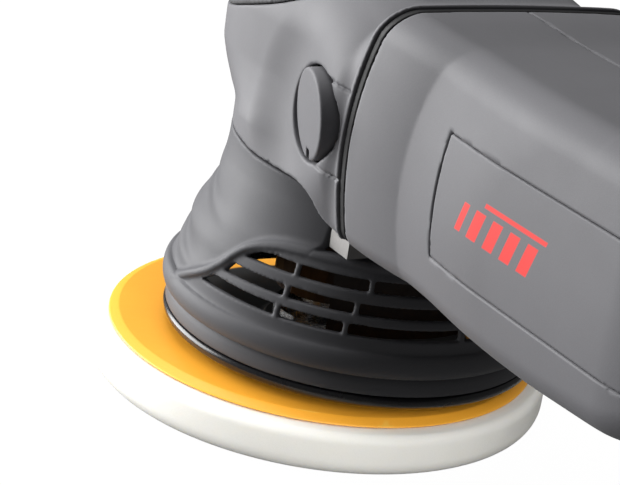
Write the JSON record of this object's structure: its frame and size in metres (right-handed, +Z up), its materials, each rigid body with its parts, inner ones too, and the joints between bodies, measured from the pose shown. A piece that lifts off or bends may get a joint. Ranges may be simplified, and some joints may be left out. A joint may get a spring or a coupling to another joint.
{
  "type": "dual action polisher",
  "caption": "Corded dual action polisher: a geared motor in a long grip housing turns an eccentric spindle under a vented shroud, which orbits a free-spinning backing plate.",
  "frame": {"origin": "on the main spindle's axis at the underside of the backing plate", "axes": "+X towards the rear handle, +Z up the spindle, the motor lies along X"},
  "size_m": [0.4378, 0.15, 0.1458],
  "materials": {
    "shell": "soft-touch moulded dark grey",
    "shroud": "satin moulded rubber",
    "palm": "soft grip rubber",
    "gloss": "polished black",
    "seal": "black",
    "control": "satin black",
    "foam": "dense cream foam with a smooth skin",
    "core": "satin orange",
    "hook": "hook fastener face",
    "casting": "bead blasted casting",
    "steel": "machined",
    "iron": "as cast",
    "lamination": "stacked laminations",
    "copper": "enamelled copper wire",
    "carbon": "pressed carbon",
    "nylon": "glass filled nylon",
    "brass": "pressed"
  },
  "bodies": {
    "housing": {"gear_case": "casting", "head_cover": "shell", "head_top_cap": "palm", "housing_seal": "seal", "shroud": "shroud", "shroud_ring": "gloss", "spindle_bearing_lower": "steel", "spindle_bearing_upper": "steel", "bearing_retainer": "steel", "stator_core": "lamination", "field_coil_upper": "copper", "field_coil_lower": "copper", "armature_bearing_front": "steel", "armature_bearing_rear": "steel", "rear_bearing_bracket": "casting", "fan_baffle": "nylon", "switch_body": "nylon", "speed_controller": "nylon", "cord_inlet": "seal", "case_screw_1": "steel", "case_screw_2": "steel", "case_screw_3": "steel", "case_screw_4": "steel", "motor_housing_left": "shell", "rear_handle_left": "shell", "side_panel_left": "shell", "handle_plug_left": "shell", "brush_holder_left": "brass", "carbon_brush_left": "carbon", "brush_spring_left": "steel", "brush_cap_left": "nylon", "motor_housing_right": "shell", "rear_handle_right": "shell", "side_panel_right": "shell", "handle_plug_right": "shell", "brush_holder_right": "brass", "carbon_brush_right": "carbon", "brush_spring_right": "steel", "brush_cap_right": "nylon"},
    "spindle": {"spindle_shaft": "steel", "bevel_gear": "steel", "counterweight": "iron", "orbit_bearing_lower": "steel", "orbit_bearing_upper": "steel"},
    "armature": {"armature_shaft": "steel", "armature_core": "lamination", "armature_winding_front": "copper", "armature_winding_rear": "copper", "commutator": "copper", "cooling_fan": "nylon", "bevel_pinion": "steel"},
    "plate": {"hook_face": "hook", "backing_plate_cushion": "foam", "backing_plate_core": "core", "plate_spindle": "steel", "plate_screw": "steel"},
    "trigger": {"trigger": "control"},
    "lock_button": {"lock_button": "control"},
    "speed_dial": {"speed_dial": "control"}
  },
  "joints": [
    {"name": "spindle_spin", "type": "hinge", "parent": "housing", "child": "spindle", "pos_m": [0, 0, 0.06], "axis": [0, 0, 1], "continuous": true},
    {"name": "motor_spin", "type": "hinge", "parent": "housing", "child": "armature", "pos_m": [0.12, 0, 0.102], "axis": [1, 0, 0], "continuous": true},
    {"name": "plate_spin", "type": "hinge", "parent": "spindle", "child": "plate", "pos_m": [-0.0098, -0.00376, 0.016], "axis": [0, 0, 1], "continuous": true},
    {"name": "trigger_pull", "type": "hinge", "parent": "housing", "child": "trigger", "pos_m": [0.232, 0, 0.093], "axis": [0, -1, 0], "range_deg": [0, 6], "stiffness_Nm_per_rad": 1.2, "springref_deg": -17.19},
    {"name": "lock_button_press", "type": "slide", "parent": "housing", "child": "lock_button", "axis": [0, 1, 0], "range_m": [0, 0.0025], "stiffness_N_per_m": 400, "springref_m": -0.002},
    {"name": "speed_dial_turn", "type": "hinge", "parent": "housing", "child": "speed_dial", "pos_m": [0.319, 0, 0.121], "axis": [0, 1, 0], "range_deg": [0, 270]}
  ],
  "couplings": [
    {"joint": "motor_spin", "follows": "spindle_spin", "ratio": 5}
  ]
}
